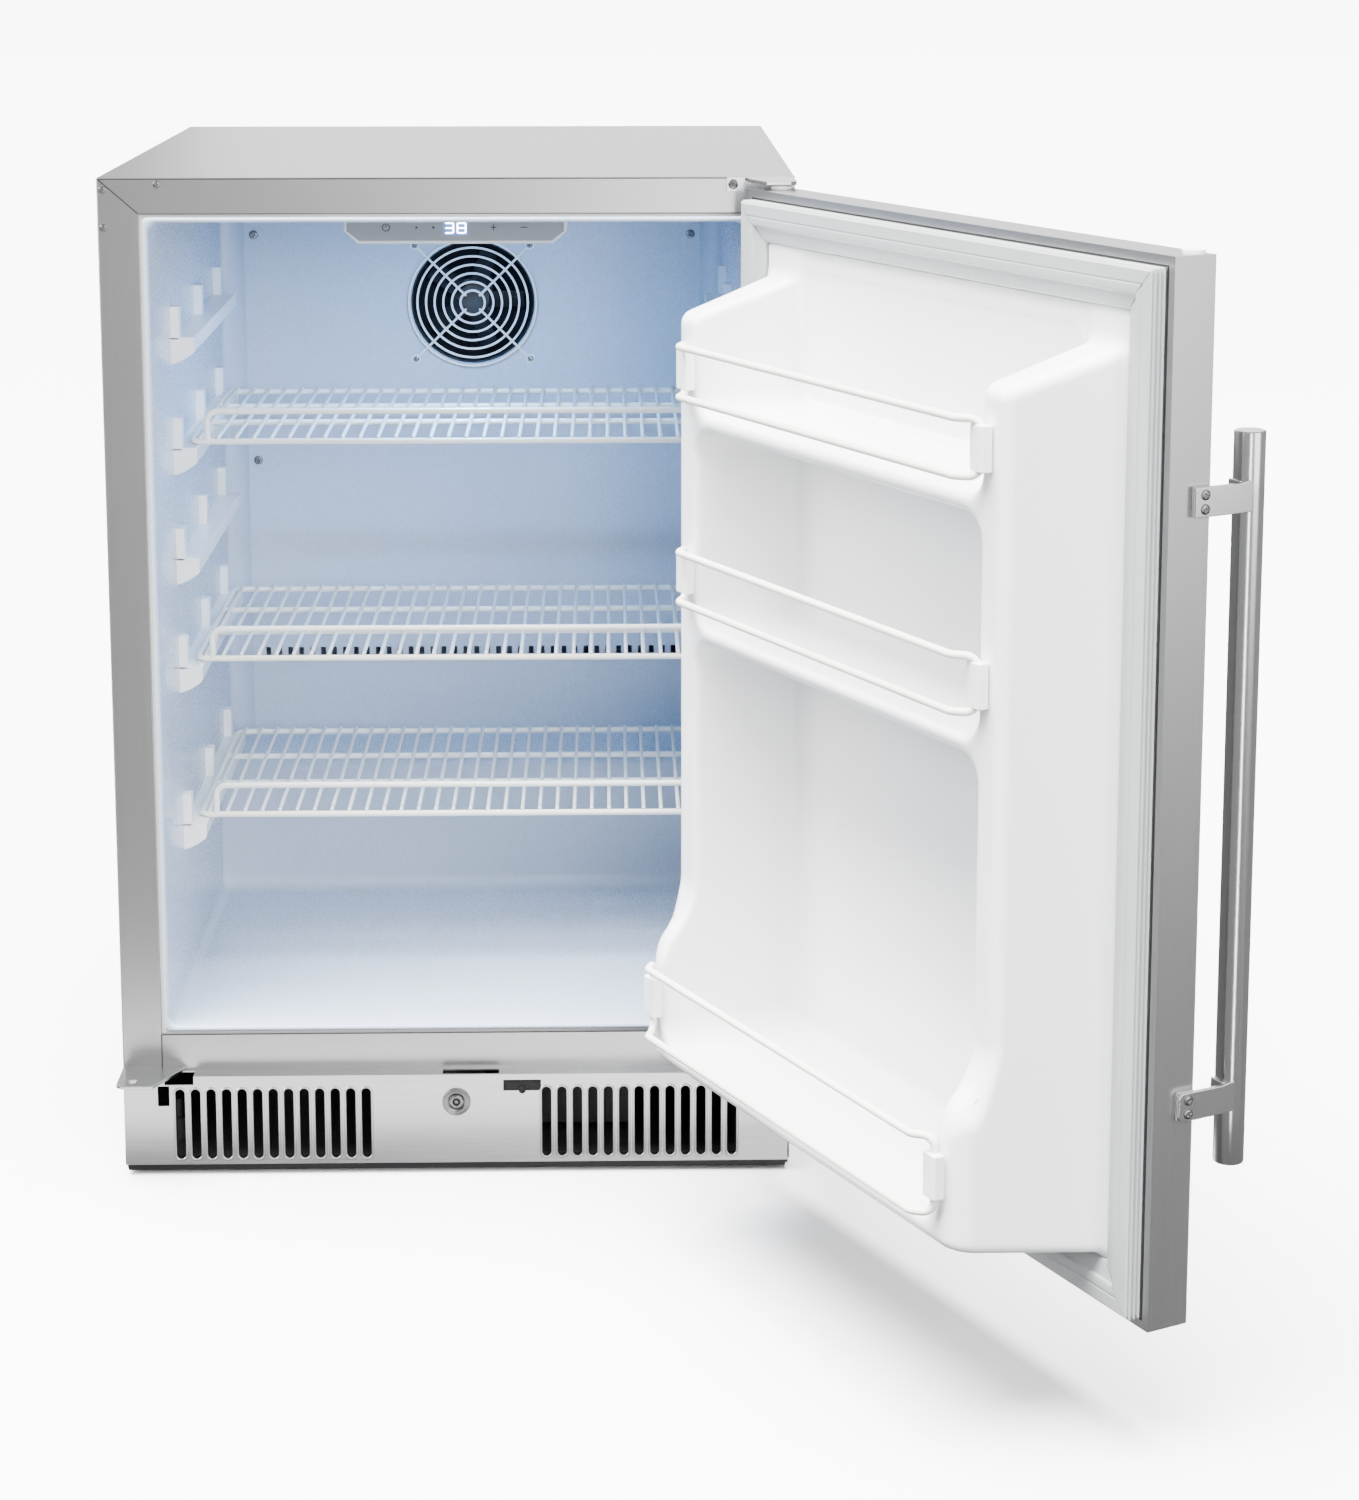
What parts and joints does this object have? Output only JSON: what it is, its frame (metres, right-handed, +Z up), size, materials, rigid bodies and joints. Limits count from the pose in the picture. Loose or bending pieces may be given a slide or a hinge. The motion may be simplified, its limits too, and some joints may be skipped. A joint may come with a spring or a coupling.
{
  "type": "mini fridge",
  "caption": "Under-counter refrigerator with a hinged stainless door on the right, sliding wire shelves, door racks, bar handle, base grille with lock, and a rear machine compartment.",
  "frame": {"origin": "middle of the cabinet's footprint, on the floor plane under the base pan", "axes": "+X to the right of a person facing the fridge, +Y from the door side to the back panel, +Z up"},
  "size_m": [0.8732, 1.1613, 0.865],
  "materials": {
    "stainless": "satin brushed",
    "grille_steel": "bright horizontal brush",
    "galvanised": "plain galvanised sheet",
    "black_steel": "black, semi-gloss",
    "foam": "rigid polyurethane foam, bare",
    "liner_plastic": "moulded, glossy white",
    "trim_plastic": "moulded, grey",
    "white_plastic": "moulded, white",
    "black_plastic": "moulded, black",
    "screw_steel": "plated",
    "zinc": "bright zinc plate",
    "fin_aluminium": "plain",
    "silver_film": "silver-grey film",
    "lens": "translucent white, lit",
    "coated_wire": "cream vinyl coat",
    "lock_metal": "plated zinc",
    "compressor_paint": "black paint",
    "rubber": "moulded",
    "copper": "bare copper",
    "gasket_vinyl": "soft light-grey vinyl",
    "bar_steel": "round bar, brushed along its length"
  },
  "bodies": {
    "cabinet": {"outer_shell": "stainless", "back_panel": "galvanised", "rear_cover": "galvanised", "base_pan": "black_steel", "insulation_plate": "galvanised", "cabinet_foam": "foam", "inner_liner": "liner_plastic", "opening_trim": "trim_plastic", "stile_left": "stainless", "stile_right": "stainless", "rail_top": "stainless", "rail_bottom": "stainless", "cabinet_screws": "screw_steel", "evaporator_cover": "liner_plastic", "fan_guard": "white_plastic", "evaporator_coil": "fin_aluminium", "evaporator_fan_motor": "black_plastic", "control_housing": "white_plastic", "control_panel": "silver_film", "led_lens": "lens", "shelf_supports_left": "white_plastic", "shelf_supports_right": "white_plastic", "grille_panel": "grille_steel", "lock_collar": "lock_metal", "door_switch": "black_plastic", "hinge_bracket_upper": "zinc", "hinge_bracket_lower": "zinc", "spare_hinge_bracket": "zinc", "compressor": "compressor_paint", "compressor_mounts": "rubber", "condenser_coil": "black_steel", "condenser_fan_motor": "black_plastic", "condensate_pan": "white_plastic", "refrigerant_pipes": "copper", "electronics_box": "galvanised", "power_inlet": "black_plastic"},
    "door": {"door_skin": "stainless", "door_foam": "foam", "door_liner": "liner_plastic", "door_gasket": "gasket_vinyl", "hinge_bushings": "white_plastic", "handle_bar": "bar_steel", "handle_arms": "zinc", "handle_screws": "screw_steel", "rack_clips": "white_plastic", "rack_top": "coated_wire", "rack_middle": "coated_wire", "rack_bottom": "coated_wire"},
    "top_shelf": {"shelf_top": "coated_wire"},
    "middle_shelf": {"shelf_middle": "coated_wire"},
    "bottom_shelf": {"shelf_bottom": "coated_wire"},
    "cold_fan": {"evaporator_fan_blade": "black_plastic"},
    "warm_fan": {"condenser_fan_blade": "black_plastic"},
    "lock": {"lock_cylinder": "lock_metal", "lock_cam": "zinc"},
    "switch_button": {"switch_plunger": "black_plastic"},
    "levelling_foot_front_left": {"foot_front_left": "black_plastic"},
    "levelling_foot_front_right": {"foot_front_right": "black_plastic"},
    "levelling_foot_rear_left": {"foot_rear_left": "black_plastic"},
    "levelling_foot_rear_right": {"foot_rear_right": "black_plastic"}
  },
  "joints": [
    {"name": "door_hinge", "type": "hinge", "parent": "cabinet", "child": "door", "pos_m": [0.2765, -0.342, 0.48], "axis": [0, 0, 1], "range_deg": [-117, 13]},
    {"name": "top_shelf_slide", "type": "slide", "parent": "cabinet", "child": "top_shelf", "axis": [0, -1, 0], "range_m": [0, 0.21]},
    {"name": "middle_shelf_slide", "type": "slide", "parent": "cabinet", "child": "middle_shelf", "axis": [0, -1, 0], "range_m": [0, 0.21]},
    {"name": "bottom_shelf_slide", "type": "slide", "parent": "cabinet", "child": "bottom_shelf", "axis": [0, -1, 0], "range_m": [0, 0.21]},
    {"name": "cold_fan_spin", "type": "hinge", "parent": "cabinet", "child": "cold_fan", "pos_m": [0, 0.21, 0.7], "axis": [0, 1, 0], "continuous": true},
    {"name": "warm_fan_spin", "type": "hinge", "parent": "cabinet", "child": "warm_fan", "pos_m": [-0.158, 0.2105, 0.114], "axis": [1, 0, 0], "continuous": true},
    {"name": "lock_turn", "type": "hinge", "parent": "cabinet", "child": "lock", "pos_m": [0, -0.321, 0.065], "axis": [0, -1, 0], "range_deg": [0, 90]},
    {"name": "switch_press", "type": "slide", "parent": "cabinet", "child": "switch_button", "axis": [0, 1, 0], "range_m": [0, 0.003], "stiffness_N_per_m": 200, "springref_m": -0.002},
    {"name": "foot_front_left_screw", "type": "slide", "parent": "cabinet", "child": "levelling_foot_front_left", "axis": [0, 0, -1], "range_m": [0, 0.015]},
    {"name": "foot_front_right_screw", "type": "slide", "parent": "cabinet", "child": "levelling_foot_front_right", "axis": [0, 0, -1], "range_m": [0, 0.015]},
    {"name": "foot_rear_left_screw", "type": "slide", "parent": "cabinet", "child": "levelling_foot_rear_left", "axis": [0, 0, -1], "range_m": [0, 0.015]},
    {"name": "foot_rear_right_screw", "type": "slide", "parent": "cabinet", "child": "levelling_foot_rear_right", "axis": [0, 0, -1], "range_m": [0, 0.015]}
  ]
}
